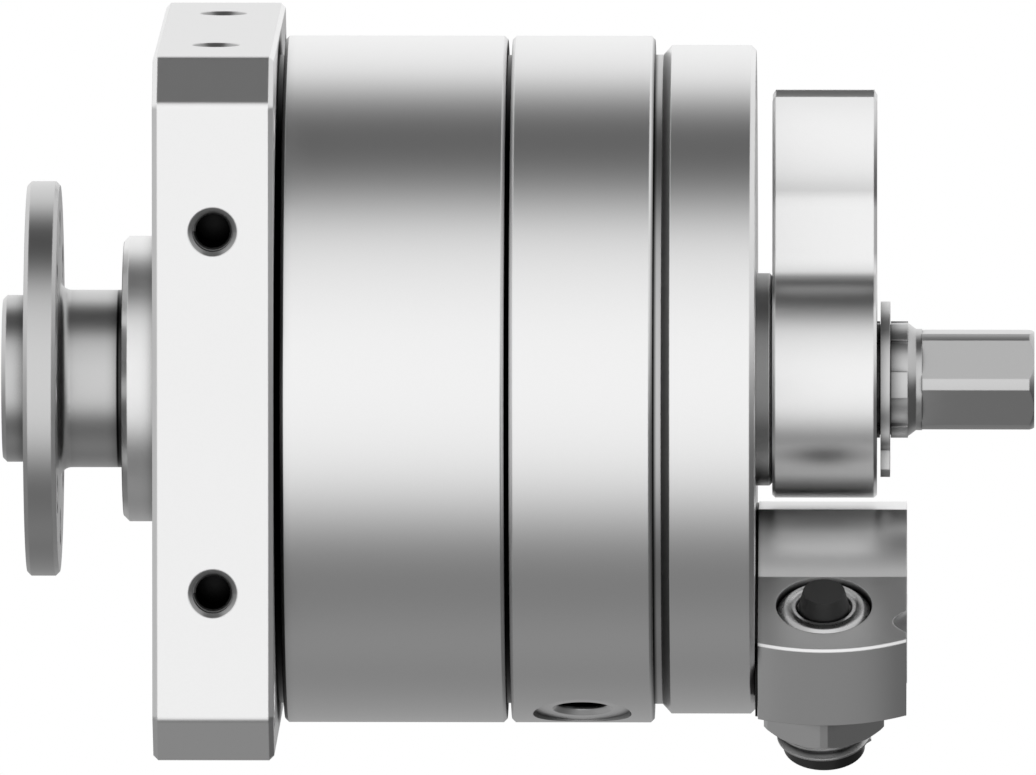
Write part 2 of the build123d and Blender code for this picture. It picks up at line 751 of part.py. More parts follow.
def stop_carrier():
    """The bracket on the ring's face that holds both stops."""
    half = mirrored(extrude(station(carrier_start) * carrier_outline(), carrier_width))
    bulge = beside_stop(carrier_reach - carrier_bulge_radius, 2 * carrier_bulge_radius)
    half &= bulge
    y, z = at_stop(carrier_reach, carrier_mouth)
    half = chamfer(half.edges().sort_by_distance((lever_middle, -y, z))[0], carrier_edge)
    half -= beside_stop(stop_radius, stop_thread_diameter)
    y, z = at_stop(stop_radius + dimple_offset, carrier_mouth - dimple_drop)
    half -= station(carrier_end - dimple_depth, -y, z) * Cone(
        dimple_bore / 2, dimple_mouth / 2, dimple_depth, align=upright)
    body = half + mirrored(half)
    body += slab(ring_face, carrier_start, rib_half_length, rib_top - rib_height, rib_top)
    body -= rod(ring_face, carrier_end, m4[0] + 2 * shank_gap, 0, -carrier_screw_drop)
    body -= head_hole(carrier_end, m4, 0, -carrier_screw_drop)
    for y in (-dowel_spread / 2, dowel_spread / 2):
        body -= rod(ring_face, carrier_start + dowel_depth, dowel_diameter + 2 * seat_gap, y, -dowel_drop)
    return body


def carrier_screw():
    """The screw that clamps the carrier to the ring."""
    seat = head_seat(carrier_end, m4)
    return station(seat, 0, -carrier_screw_drop) * cap_screw(m4, seat - ring_face + screw_grip)


def carrier_pins():
    """The two dowels that take the stops' load into the ring."""
    start, end = ring_face - dowel_depth, carrier_start + dowel_depth
    offsets = (-dowel_spread / 2, dowel_spread / 2)
    return grouped([rod(start, end, dowel_diameter, y, -dowel_drop) for y in offsets])


def stop_sleeve():
    """The threaded stop on the left, hollow for its buffer and with a hexagon socket in its tail."""
    body = Cylinder(sleeve_diameter / 2, sleeve_length, align=upright)
    body = chamfer(body.edges().sort_by(Axis.Z)[-1], sleeve_lead)
    body = chamfer(body.edges().sort_by(Axis.Z)[0], sleeve_tail_edge)
    bore = Cylinder(sleeve_bore / 2, sleeve_bore_depth, align=upright)
    body -= Pos(0, 0, sleeve_length - sleeve_bore_depth) * bore
    body -= hexagon_prism(sleeve_socket, sleeve_socket_depth)
    return stop_plane(stop_radius, sleeve_end) * body


def stop_buffer():
    """The rubber plug in the left sleeve, whose tip meets the lever first."""
    stem_length = sleeve_bore_depth - buffer_foot_length
    body = Cylinder(sleeve_bore / 2 - seat_gap, buffer_foot_length, align=upright)
    body += Pos(0, 0, buffer_foot_length) * Cylinder(buffer_diameter / 2, stem_length, align=upright)
    body += Pos(0, 0, sleeve_bore_depth) * Cone(
        buffer_diameter / 2, buffer_tip_diameter / 2, buffer_reach, align=upright)
    return stop_plane(stop_radius, sleeve_face - sleeve_bore_depth) * body


def lock_nut():
    """The nut that locks the left sleeve against the carrier."""
    corners = Cylinder(nut_corner_diameter / 2, nut_height, align=upright)
    ends = corners.edges().sort_by(Axis.Z)
    body = hexagon_prism(nut_width, nut_height) & chamfer([ends[0], ends[-1]], nut_edge)
    body -= Cylinder(sleeve_diameter / 2 + nut_gap, nut_height, align=upright)
    return stop_plane(stop_radius, carrier_underside - nut_height) * body


def save(name, shape):
    """Write one node."""
    export_step(shape, f"parts/{name}.step")


def main():
    os.makedirs("parts", exist_ok=True)
    front = (front_cup_start, front_cup_length, journal_diameter, front_needle_diameter)
    rear = (rear_cup_start, rear_cup_length, rear_journal_diameter, rear_needle_diameter)
    save("mounting_plate", mounting_plate())
    save("front_housing", front_housing())
    save("rear_housing", rear_housing())
    save("rear_ring", rear_ring())
    save("housing_gasket", housing_gasket())
    save("body_screws", screws(m3, rear_face, screw_circle, 45, plate_thickness - screw_grip))
    save("ring_screws", screws(m3, ring_face, ring_screw_circle, 0, rear_face - screw_grip))
    save("separator", separator())
    save("separator_seal", separator_seal())
    save("separator_pins", separator_pins())
    save("front_thrust_washer", thrust_washer(chamber_start))
    save("rear_thrust_washer", thrust_washer(chamber_end - washer_thickness))
    save("front_bearing_cup", bearing_cup(*front))
    save("front_needles", needles(*front))
    save("front_needle_cage", needle_cage(*front))
    save("rear_bearing_cup", bearing_cup(*rear))
    save("rear_needles", needles(*rear))
    save("rear_needle_cage", needle_cage(*rear))
    save("wiper_seal", wiper_seal())
    save("front_shaft_seal", shaft_seal(front_seal_start, front_seal_diameter, journal_diameter))
    save("rear_shaft_seal", shaft_seal(rear_seal_start, rear_seal_seat_diameter, rear_seal_diameter))
    save("drive_shaft", drive_shaft())
    save("rotary_vane", rotary_vane())
    save("vane_seal", vane_seal())
    save("vane_key", vane_key())
    save("vane_snap_ring", vane_snap_ring())
    save("lever_spacer", lever_spacer())
    save("stop_lever", stop_lever())
    save("lever_circlip", lever_circlip())
    save("stop_carrier", stop_carrier())
    save("carrier_screw", carrier_screw())
    save("carrier_pins", carrier_pins())
    left = {"stop_sleeve": stop_sleeve(), "stop_buffer": stop_buffer(), "lock_nut": lock_nut()}
    for name, piece in left.items():
        save(f"left_{name}", piece)
        save(f"right_{name}", mirrored(piece))


main()
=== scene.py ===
# %% [markdown]
# # A semi-rotary actuator in studio light
# The object is a small air motor: two turned aluminium shells on a square plate, a flanged steel
# shaft that runs through them, and behind them a lever that swings between two cushioned stops.
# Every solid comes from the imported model, already at its real size and place. What is added here is
# what a camera would notice: the finish that each tool left, cut threads, and the studio's light.

# %% Load the frame
import json
from math import cos, pi, radians, sin

import bmesh
import bpy
from mathutils import Matrix, Vector


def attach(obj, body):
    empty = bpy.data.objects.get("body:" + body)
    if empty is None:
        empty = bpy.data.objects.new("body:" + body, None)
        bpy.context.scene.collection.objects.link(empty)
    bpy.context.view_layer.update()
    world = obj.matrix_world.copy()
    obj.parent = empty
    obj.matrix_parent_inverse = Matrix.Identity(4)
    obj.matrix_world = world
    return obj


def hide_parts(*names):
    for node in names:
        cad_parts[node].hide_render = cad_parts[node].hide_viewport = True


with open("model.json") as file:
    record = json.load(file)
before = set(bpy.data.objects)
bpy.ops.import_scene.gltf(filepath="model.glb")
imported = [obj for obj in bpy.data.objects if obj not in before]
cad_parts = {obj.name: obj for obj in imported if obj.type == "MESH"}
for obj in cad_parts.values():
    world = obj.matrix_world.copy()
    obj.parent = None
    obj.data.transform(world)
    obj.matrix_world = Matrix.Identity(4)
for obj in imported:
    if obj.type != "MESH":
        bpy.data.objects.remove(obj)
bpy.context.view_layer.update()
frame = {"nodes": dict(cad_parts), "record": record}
mm = 0.001

# %% [markdown]
# ## The camera
# The photograph was taken from far away with a long lens, nearly level with the shaft, so it shows
# almost no perspective. One millimetre at the shaft covers twelve pixels, and the camera's distance
# follows from the lens and from that scale.

# %% Place the camera
image_width = 1036
pixels_per_mm = 12.0
lens, sensor = 1240.0, 36.0
aim = Vector((29.83, 0.0, -0.71)) * mm
camera_rise, camera_turn = radians(5.6), radians(0.75)

distance = lens * image_width / sensor / pixels_per_mm * mm
level_part = cos(camera_rise)
towards = Vector((sin(camera_turn) * level_part, -cos(camera_turn) * level_part, sin(camera_rise)))
camera = bpy.data.objects.new("camera", bpy.data.cameras.new("camera"))
camera.data.lens, camera.data.sensor_width = lens, sensor
camera.data.clip_end = 100.0
camera.location = aim + towards * distance
camera.rotation_euler = (-towards).to_track_quat("-Z", "Y").to_euler()
bpy.context.scene.collection.objects.link(camera)
bpy.context.scene.camera = camera
bpy.context.scene.view_settings.view_transform = "Standard"
print(f"camera {distance:.2f} m away")

# %% [markdown]
# ## Shader maths
# A finish is mostly arithmetic: how far a point lies from the axis, how deep it sits in a groove.
# This small class holds one socket of a material, and the usual operators add the Math nodes, so a
# mask reads as a formula instead of a heap of links.


# %% A socket that can be calculated with
class Wire:
    """One output socket. An expression on wires and numbers adds its Math nodes."""

    def __init__(self, tree, socket):
        self.tree, self.socket = tree, socket

    def math(self, operation, *values):
        settings = {"operation": operation}
        return add_node(self.tree, "ShaderNodeMath", settings, dict(enumerate(values)))

    def __add__(self, other):
        return self.math("ADD", self, other)

    def __sub__(self, other):
        return self.math("SUBTRACT", self, other)

    def __rsub__(self, other):
        return self.math("SUBTRACT", other, self)

    def __mul__(self, other):
        return self.math("MULTIPLY", self, other)

    def __truediv__(self, other):
        return self.math("DIVIDE", self, other)

    __radd__, __rmul__ = __add__, __mul__

    def power(self, exponent):
        return self.math("POWER", self, exponent)

    def root(self):
        return self.math("SQRT", self)

    def size(self):
        return self.math("ABSOLUTE", self)

    def most(self, other):
        return self.math("MAXIMUM", self, other)

    def ramp(self, start, end, low=0.0, high=1.0):
        """A soft step: low before start, high past end."""
        return add_node(self.tree, "ShaderNodeMapRange", {"interpolation_type": "SMOOTHSTEP"}, {
            "Value": self, "From Min": start, "From Max": end, "To Min": low, "To Max": high})


# %% One way to add any node
def add_node(tree, kind, settings, inputs, output=0):
    """Add a node: first its settings, then the values or wires of its inputs. Gives one output."""
    node = tree.nodes.new(kind)
    for name, value in settings.items():
        if name == "stops":
            set_stops(node.color_ramp.elements, value)
        else:
            setattr(node, name, value)
    for name, value in inputs.items():
        if isinstance(value, Wire):
            tree.links.new(value.socket, node.inputs[name])
        else:
            node.inputs[name].default_value = value
    return Wire(tree, node.outputs[output]) if node.outputs else None


def set_stops(elements, stops):
    """Greys of a ramp over 0 to 1, from (place, level) pairs."""
    for place, level in stops[1:-1]:
        elements.new(place)
    for element, (place, level) in zip(elements, stops):
        element.position, element.color = place, (level, level, level, 1)


# %% [markdown]
# ## The studio
# Polished metal has no look of its own: it shows the room. On a turned shell every height mirrors
# another height of the room, so the bands of the photograph give the room's brightness all the way
# round the shaft: white in front, a dark ceiling, white again behind, and grey below. The room is
# painted on the world by the angle about X, 0 towards the camera's side and 90 overhead. Along the
# shaft it stays the same, which keeps the bands straight, until its two ends, which the chamfers
# show as thin lines: a window at the shaft's front, and behind the lever a wall that is dark below.
# Reflections see the room, matt surfaces an even light, and the camera sees white.

# %% The room round the shaft
# Each pair is an angle in degrees and how bright the room is there.
room = [
    (-180, 0.50), (-150, 0.35), (-113, 0.23), (-92, 0.28), (-65, 0.18), (-52, 0.23),
    (-41, 0.50), (-31, 0.79), (-20, 0.95), (0, 1.0), (22, 0.98), (43, 0.86),
    (55, 0.76), (66, 0.42), (75, 0.15), (85, 0.07), (103, 0.07), (112, 0.23),
    (121, 0.59), (131, 0.88), (150, 0.94), (180, 1.0),
]
even_light = 0.6
window_low, window_high = 0.28, 0.9
rear_wall_low, rear_wall_high = 0.1, 0.75
end_begins, end_full = 0.3, 0.6

world = bpy.data.worlds.new("room")
world.use_nodes = True
bpy.context.scene.world = world
tree = world.node_tree
tree.nodes.clear()
is_camera = add_node(tree, "ShaderNodeLightPath", {}, {}, "Is Camera Ray")
is_glossy = add_node(tree, "ShaderNodeLightPath", {}, {}, "Is Glossy Ray")
is_through = add_node(tree, "ShaderNodeLightPath", {}, {}, "Is Transmission Ray")
direction = add_node(tree, "ShaderNodeTexCoord", {}, {}, "Generated")
along, behind, above = (
    add_node(tree, "ShaderNodeSeparateXYZ", {}, {"Vector": direction}, axis) for axis in "XYZ")
turn = above.math("ARCTAN2", above, behind * -1.0) / (2 * pi) + 0.5
walls = add_node(tree, "ShaderNodeValToRGB", {
    "stops": [(angle / 360 + 0.5, level) for angle, level in room]}, {0: turn})
window = above.ramp(-0.5, 0.5, window_low, window_high)
rear_wall = above.ramp(-0.2, 0.25, rear_wall_low, rear_wall_high)
ends = add_node(tree, "ShaderNodeMix", {}, {0: along.ramp(-0.2, 0.2), 2: window, 3: rear_wall})
how_far_along = along.size().ramp(end_begins, end_full)
level = add_node(tree, "ShaderNodeMix", {}, {0: how_far_along, 2: walls, 3: ends})
plain = add_node(tree, "ShaderNodeMix", {}, {0: is_camera, 2: even_light, 3: 1.0})
shown = add_node(tree, "ShaderNodeMix", {}, {0: is_glossy.most(is_through), 2: plain, 3: level})
background = add_node(
    tree, "ShaderNodeBackground", {}, {"Color": (1, 1, 1, 1), "Strength": shown})
add_node(tree, "ShaderNodeOutputWorld", {}, {"Surface": background})
print("room of", len(room), "levels")

# %% [markdown]
# ## The floor
# The photograph has no horizon, only white. A very large pale floor stands for the table: near the
# object an eighth of it is matt and takes a faint shadow, and further out it turns to plain white
# for the camera, so its edge never shows. A white backdrop could do the same, but it would hide the
# object from behind. The metal doesn't mirror the floor, because the room has its own lower half.

# %% A pale floor
floor_reach, floor_height = 8.0, -0.26
floor_colour = (0.95, 0.95, 0.95)
white_near, white_begins, white_full = 0.88, 0.3, 0.8

mesh = bmesh.new()
bmesh.ops.create_grid(mesh, x_segments=1, y_segments=1, size=floor_reach)
bmesh.ops.translate(mesh, vec=(0, 0, floor_height), verts=mesh.verts)
data = bpy.data.meshes.new("floor")
mesh.to_mesh(data)
mesh.free()
floor = bpy.data.objects.new("floor", data)
floor.visible_glossy = False
bpy.context.scene.collection.objects.link(floor)

pale = bpy.data.materials.new("pale floor")
pale.use_nodes = True
tree = pale.node_tree
tree.nodes.clear()
is_camera = add_node(tree, "ShaderNodeLightPath", {}, {}, "Is Camera Ray")
matt = add_node(tree, "ShaderNodeBsdfDiffuse", {}, {"Color": (*floor_colour, 1)})
glow = add_node(tree, "ShaderNodeEmission", {}, {"Color": (1, 1, 1, 1), "Strength": 1.0})
place = add_node(tree, "ShaderNodeTexCoord", {}, {}, "Object")
away = add_node(tree, "ShaderNodeVectorMath", {"operation": "LENGTH"}, {0: place}, "Value")
share = is_camera * away.ramp(white_begins, white_full, white_near, 1.0)
mixed = add_node(tree, "ShaderNodeMixShader", {}, {0: share, 1: matt, 2: glow})
add_node(tree, "ShaderNodeOutputMaterial", {}, {"Surface": mixed})
data.materials.append(pale)
print(f"floor {2 * floor_reach:.0f} m wide")

# %% [markdown]
# ## The lamps
# The room lights metal by its mirror image. Rubber and plastic scatter light instead, and take
# their shape from two wide soft lamps: the key lamp above the flange, and a weaker fill lamp on the
# lever's side. Both are hidden from reflections, where they would draw hot squares.


# %% Two soft lamps
def lamp(name, place, size, power):
    """A wide soft lamp that looks at the object's middle. Metal doesn't show it."""
    data = bpy.data.lights.new(name, "AREA")
    data.shape, data.size, data.energy = "SQUARE", size, power
    light = bpy.data.objects.new(name, data)
    light.location = place
    light.rotation_euler = (aim - Vector(place)).to_track_quat("-Z", "Y").to_euler()
    light.visible_glossy = light.visible_camera = False
    bpy.context.scene.collection.objects.link(light)
    print(name, power, "W")


lamp("key lamp", (-0.8, -1.4, 1.6), 0.8, 14.0)
lamp("fill lamp", (1.2, -1.2, 0.7), 1.0, 6.0)


# %% [markdown]
# ## Finishes
# Every finish starts from the same three things. Object coordinates in millimetres place the marks
# that a tool left. Corners that little light reaches get painted shade: the Ambient Occlusion node
# finds them and darkens their colour, so most crevices need no mask of their own. And no real
# edge is perfectly sharp, so the Bevel node rounds the normals at each edge by a fraction of a
# millimetre, which draws the thin bright and dark lines that make metal look machined.

# %% What the finishes share
edge_round = 0.12 * mm


class Finish:
    """One material under construction: its tree, the place on the piece and its crevices' painted
    shade.
    """

    def __init__(self, name, reach=1.5):
        self.material = bpy.data.materials.new(name)
        self.material.use_nodes = True
        self.tree = self.material.node_tree
        self.tree.nodes.clear()
        metres = self.add("ShaderNodeTexCoord", {}, {}, "Object")
        self.place = self.add(
            "ShaderNodeVectorMath", {"operation": "SCALE"}, {0: metres, "Scale": 1000.0})
        self.x, self.y, self.z = (
            self.add("ShaderNodeSeparateXYZ", {}, {0: self.place}, axis) for axis in "XYZ")
        self.radius = (self.y * self.y + self.z * self.z).root()
        # Ambient occlusion, used below as painted shade in the colour.
        self.open = self.add(
            "ShaderNodeAmbientOcclusion", {"samples": 8}, {"Distance": reach * mm}, "AO")

    def add(self, kind, settings, inputs, output=0):
        return add_node(self.tree, kind, settings, inputs, output)

    def noise(self, place, scale, detail=2.0, dimensions="3D"):
        socket = "W" if dimensions == "1D" else "Vector"
        return self.add("ShaderNodeTexNoise", {"noise_dimensions": dimensions}, {
            socket: place, "Scale": scale, "Detail": detail})

    def close(self, height, inputs):
        """The Principled shader, with its relief given as a height in millimetres."""
        edges = self.add("ShaderNodeBevel", {"samples": 4}, {"Radius": edge_round})
        relief = self.add("ShaderNodeBump", {}, {
            "Height": height * mm, "Distance": 1.0, "Strength": 1.0, "Normal": edges})
        shader = self.add("ShaderNodeBsdfPrincipled", {}, {**inputs, "Normal": relief})
        self.add("ShaderNodeOutputMaterial", {}, {"Surface": shader})
        return self.material


# %% [markdown]
# ## Metals
# The shells and the shaft were turned, so their marks run round the axis: a noise of x and radius
# alone gives rings on a cylinder and on a face alike. The plate, the lever and the carrier were
# milled and tumbled, which leaves a fine grain without direction. Both marks are a tenth of a
# micrometre deep: more would break up the straight bands of the room.

# %% Turned and milled metal
mark_depth, grain_depth = 0.00012, 0.0001
grain_contrast, roughness_spread = 0.03, 0.05


def metal(name, level, roughness, turned, cover=None, reach=1.5, relief=1.0, darkest=0.04):
    """Bare metal. The cover is a mask of painted shade: 1 in the light, and 0 where the light never
    comes.
    """
    finish = Finish(name, reach)
    grain = finish.noise(finish.place, 9.0)
    if turned:
        marks = finish.noise(finish.x + finish.radius, 7.0, 3.0, "1D")
    else:
        marks = finish.noise(finish.place, 3.0, 3.0)
    # Painted shade: darker where ambient occlusion finds crevices, and where the cover's mask is low.
    shade = finish.open.power(1.5).ramp(0.0, 1.0, darkest, 1.0)
    if cover:
        shade = shade * cover(finish)
    colour = shade * (level + grain_contrast * (grain - 0.5))
    rough = roughness + (roughness_spread * relief) * (marks - 0.5)
    height = (mark_depth * relief) * marks + (grain_depth * relief) * grain
    return finish.close(height, {"Base Color": colour, "Metallic": 1.0, "Roughness": rough})


# %% [markdown]
# ## Where little light comes
# Some places lie in shade that ambient occlusion alone doesn't find at this scale: the narrow gaps
# beside the front shell, the threaded holes, the line where the shaft leaves its wiper ring. A cover
# is a mask that paints that shade into the colour. It is worked out from the place on the part, in
# millimetres along the shaft and from its axis, so it is the same from every side.

# %% Covers of the shells and the ring
shell_floor, shell_lip = 27.5, 27.95
front_gaps_end, rear_face = 37.0, 41.25
groove_flat_end = rear_face + 0.7


def gap_cover(finish):
    """Painted shade: black below the shells' wall, duller on the rear edge. The rear groove lets
    light in.
    """
    past_gaps = finish.x.ramp(front_gaps_end - 0.5, front_gaps_end + 0.5)
    lit = finish.radius.ramp(shell_floor, shell_lip).most(past_gaps)
    return lit * finish.x.ramp(rear_face - 0.25, rear_face - 0.01, 1.0, 0.35)


def ring_cover(finish):
    """Painted shade: black where the groove meets the shell, and grey on the groove's flat."""
    flat = finish.x.ramp(rear_face + 0.05, rear_face + 0.37, 0.01, 0.62)
    return flat.most(finish.x.ramp(groove_flat_end - 0.11, groove_flat_end))


# %% Cover of the plate
plate_half, hole_offset, hole_station = 29.25, 15.0, 5.0
hole_mouth, pilot_face = 2.1, -3.0


def plate_cover(finish):
    """Painted shade: dark in the threaded holes of the sides, duller on the top and at the pilot's
    edge.
    """
    pilot_edge = finish.x.ramp(pilot_face + 0.02, pilot_face + 0.1, 0.4, 1.0)
    lit = pilot_edge * finish.z.ramp(plate_half - 0.1, plate_half - 0.03, 1.0, 0.84)
    for across, depth in ((finish.z, finish.y), (finish.y, finish.z)):
        off, along = across.size() - hole_offset, finish.x - hole_station
        beside = (off * off + along * along).root().ramp(hole_mouth - 0.05, hole_mouth + 0.05)
        below = plate_half - depth.size()
        inside = below.ramp(0.02, 0.1, 1.0, 0.5) * below.ramp(0.4, 2.2, 1.0, 0.03)
        lit = lit * beside.most(inside)
    return lit


# %% Covers of the shaft, the spacer and the lever
wiper_end = -1.0
spacer_edge = 50.79
lever_middle, lever_half_width = 55.39, 4.35
under_hub, hub_bottom = (-7.0, -4.4), (-9.6, -9.0)
hollow_below, hollow_above = (6.4, 7.4), (8.9, 9.5)


def wiper_cover(finish):
    """Painted shade: a black line round the neck, and a dull band between it and the pilot."""
    before = finish.x.ramp(pilot_face - 0.56, pilot_face - 0.43, 1.0, 0.01)
    dull = finish.x.ramp(pilot_face - 0.38, pilot_face - 0.2, 0.0, 0.25)
    return before.most(dull).most(finish.x.ramp(wiper_end - 0.1, wiper_end + 0.1))


def painted_edge_highlight(finish):
    """The spacer is dark grey, with a painted highlight on the edge next to the lever's hub."""
    return finish.x.ramp(spacer_edge - 0.09, spacer_edge + 0.03, 1.0, 3.2)


def hub_cover(finish):
    """Painted shade under the lever's hub by the carrier, and a painted dark reflection where hub
    meets arm.
    """
    below = finish.z.ramp(*under_hub, 0.5, 1.0).most(finish.z.ramp(*hub_bottom, 0.8, 0.5))
    hollow = finish.z.ramp(*hollow_below, 1.0, 0.65).most(finish.z.ramp(*hollow_above, 0.6, 1.0))
    from_middle = (finish.x - lever_middle).size()
    end_face = from_middle.ramp(lever_half_width - 0.2, lever_half_width - 0.05)
    return below * hollow.most(end_face)


# %% Covers of the carrier and its stops
stop_circle, nut_end = 19.5, -19.5
thread_core, thread_top = 3.4, 3.93
carrier_top, carrier_mouth, shoulder_end = -10.55, -9.1, 15.5


def beside_stop(finish):
    """The distance from the shaft's axis towards a stop, and the height along that stop."""
    sideways = finish.y.size()
    return 0.866 * sideways - 0.5 * finish.z, 0.5 * sideways + 0.866 * finish.z


def thread_cover(finish):
    """Painted shade in the root of the stops' threads, below the lock nuts."""
    away, upward = beside_stop(finish)
    off, along = away - stop_circle, finish.x - lever_middle
    root = (off * off + along * along).root().ramp(
        thread_core + 0.05, thread_top - 0.08, 0.15, 0.9)
    return root.most(upward.ramp(nut_end, nut_end + 0.5))


def carrier_cover(finish):
    """Painted shade below the carrier's upper edge, and on the two slanting faces that hold the
    stops.
    """
    below = finish.z.ramp(carrier_top - 1.85, carrier_top - 0.25, 1.0, 0.45)
    edge = below.most(finish.z.ramp(carrier_top - 0.07, carrier_top - 0.01))
    away, upward = beside_stop(finish)
    slanting = away.ramp(shoulder_end - 0.1, shoulder_end + 0.1) * upward.ramp(
        carrier_mouth - 0.04, carrier_mouth - 0.01)
    return edge * (1.0 - 0.38 * slanting)


# %% [markdown]
# ## Rubber and plastic
# The buffers, seals and washers are moulded. They don't mirror the room: they have a plain dark or
# pale colour, a satin gloss, and the faint unevenness of the mould, a few micrometres high.


# %% Soft and moulded materials
def soft(name, level, roughness):
    """Moulded rubber or plastic of one grey."""
    finish = Finish(name)
    grain = finish.noise(finish.place, 6.0)
    # Painted shade: the colour darkens where ambient occlusion finds crevices.
    shade = finish.open.ramp(0.0, 1.0, 0.3, 1.0)
    colour = shade * (level + 0.2 * level * (grain - 0.5))
    rough = roughness + 0.1 * (grain - 0.5)
    return finish.close(0.004 * grain, {"Base Color": colour, "Roughness": rough})


# %% [markdown]
# ## One finish for each material
# The record names the material of every solid. Bright parts are tumbled or turned aluminium, the
# shaft and the bearings are ground steel, the screws and stops are zinc plated, and the spacer is
# dark grey, painted shade for its place between the ring and the lever's hub. A short reach keeps
# the painted shade in the finest crevices, where neighbours stand close.

# %% The finishes
finishes = {
    "housing_aluminium": metal("turned aluminium", 0.93, 0.30, True, gap_cover),
    "lever_aluminium": metal("milled aluminium", 0.93, 0.30, False, hub_cover, 0.6),
    "carrier_aluminium": metal("milled carrier aluminium", 0.93, 0.32, False, carrier_cover, 0.7),
    "shaft_steel": metal("ground steel", 0.64, 0.28, True, wiper_cover, relief=0.12),
    "bearing_steel": metal("bearing steel", 0.6, 0.25, True),
    "screw_steel": metal("zinc", 0.85, 0.3, False),
    "spring_steel": metal("spring steel", 0.7, 0.3, False),
    # The spacer's low level is painted shade, and its cover adds a painted highlight on its edge.
    "spacer_steel": metal("spacer steel", 0.27, 0.35, True, painted_edge_highlight, 0.12, darkest=0.35),
    "stop_steel": metal("zinc plated stop", 0.68, 0.28, False, thread_cover, 0.2),
    "buffer_rubber": soft("black polyurethane", 0.02, 0.5),
    "seal_rubber": soft("nitrile rubber", 0.02, 0.5),
    "vane_plastic": soft("vane plastic", 0.5, 0.5),
    "cage_plastic": soft("cage plastic", 0.4, 0.5),
    "washer_plastic": soft("washer plastic", 0.15, 0.5),
    "gasket": soft("gasket", 0.03, 0.6),
}
milled_plate = metal("milled plate aluminium", 0.93, 0.30, False, plate_cover)
turned_ring = metal("turned ring aluminium", 0.93, 0.30, True, ring_cover, 0.12)
print(len(finishes) + 2, "finishes")

# %% [markdown]
# ## Dress the solids
# A solid's shape is left alone. Only the material in its slot is exchanged: by its material's name,
# or by its own name where the plate and the ring differ from the shells beside them.

# %% Give each solid its finish
slot_of = {part["node"]: part["material_slot"] for part in frame["record"]["subparts"]}
own_finish = {"mounting_plate": milled_plate, "rear_ring": turned_ring}
for node, piece in frame["nodes"].items():
    for slot in piece.material_slots:
        slot.material = own_finish.get(node, finishes[slot_of[node]])
print(len(frame["nodes"]), "solids dressed")

# %% [markdown]
# ## Cut threads
# The solids have plain bores and plain stop screws, because a modelled thread costs faces and tells
# a drawing nothing. Close up a thread is what makes a hole look cut, so it is added here as a
# ridge: a small closed outline, spun round the hole's axis while it climbs one pitch a turn. Inside
# a hole the ridge points inwards. A bump pattern would be cheaper, but a tail's outline shows the
# thread as teeth, and only real faces change an outline.


# %% The ridge of a thread
def ridge(mesh, root, crest, pitch, bottom, top, steps=24):
    """A right-hand thread round Z between two heights, in millimetres."""
    profile = ((root, 0.03), (crest, 0.42), (crest, 0.58), (root, 0.97))
    corners = [
        mesh.verts.new((radius * mm, 0, (bottom + part * pitch) * mm)) for radius, part in profile]
    outline = [mesh.edges.new((corners[i - 1], corners[i])) for i in range(len(corners))]
    turns = (top - bottom) / pitch - 1
    count = round(turns * steps)
    spun = bmesh.ops.spin(
        mesh, geom=corners + outline, axis=(0, 0, 1), angle=2 * pi * turns,
        dvec=(0, 0, turns * pitch / count * mm), steps=count)
    last = [edge for edge in spun["geom_last"] if isinstance(edge, bmesh.types.BMEdge)]
    for loop in (outline, last):
        bmesh.ops.contextual_create(mesh, geom=loop)


def on_axis(origin, direction):
    """The matrix that takes Z to a hole's axis, from its mouth in millimetres."""
    turned = Vector(direction).to_track_quat("Z", "Y").to_matrix().to_4x4()
    return Matrix.Translation(Vector(origin) * mm) @ turned


# %% From a mesh to a piece
sharp_angle, merge_distance = radians(25), 0.0005 * mm


def copy_of(node):
    """A solid's mesh to work on, with its loose triangles joined."""
    mesh = bmesh.new()
    mesh.from_mesh(frame["nodes"][node].data)
    bmesh.ops.remove_doubles(mesh, verts=mesh.verts, dist=merge_distance)
    return mesh


def piece_from(mesh, name, body, material):
    """Face the mesh outwards, give it its finish and let it ride on a body."""
    bmesh.ops.recalc_face_normals(mesh, faces=mesh.faces)
    data = bpy.data.meshes.new(name)
    mesh.to_mesh(data)
    mesh.free()
    data.materials.append(material)
    data.shade_smooth()
    data.set_sharp_from_angle(angle=sharp_angle)
    piece = bpy.data.objects.new(name, data)
    bpy.context.scene.collection.objects.link(piece)
    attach(piece, body)
    print(name, "has", len(data.polygons), "faces")
    return piece


def threaded_holes(name, holes, thread, material):
    """One piece with the same thread in several holes, each given by its mouth and way in."""
    threads = bmesh.new()
    for mouth, inwards in holes:
        hole = bmesh.new()
        ridge(hole, **thread)
        bmesh.ops.transform(hole, matrix=on_axis(mouth, inwards), verts=hole.verts)
        cut = bpy.data.meshes.new("cut")
        hole.to_mesh(cut)
        hole.free()
        threads.from_mesh(cut)
        bpy.data.meshes.remove(cut)
    piece_from(threads, name, "stator", material)


# %% M4 threads in the plate's sides
plate_thread = {"root": 1.66, "crest": 1.42, "pitch": 0.7, "bottom": 0.6, "top": 7.8}
plate_holes = []
for side in (1, -1):
    for place in (hole_offset, -hole_offset):
        plate_holes.append(((hole_station, side * plate_half, place), (0, -side, 0)))
        plate_holes.append(((hole_station, place, side * plate_half), (0, 0, -side)))
threaded_holes("plate_threads", plate_holes, plate_thread, milled_plate)

# %% M5 threads in the two air ports
port_station, port_face, port_lean = 35.3, 28.15, radians(18.75)
port_thread = {"root": 2.11, "crest": 1.8, "pitch": 0.8, "bottom": 0.35, "top": 5.3}
port_holes = []
for side in (1, -1):
    inwards = Vector((0, -side * sin(port_lean), cos(port_lean)))
    port_holes.append((Vector((port_station, 0, 0)) - inwards * port_face, inwards))
threaded_holes("port_threads", port_holes, port_thread, finishes["housing_aluminium"])

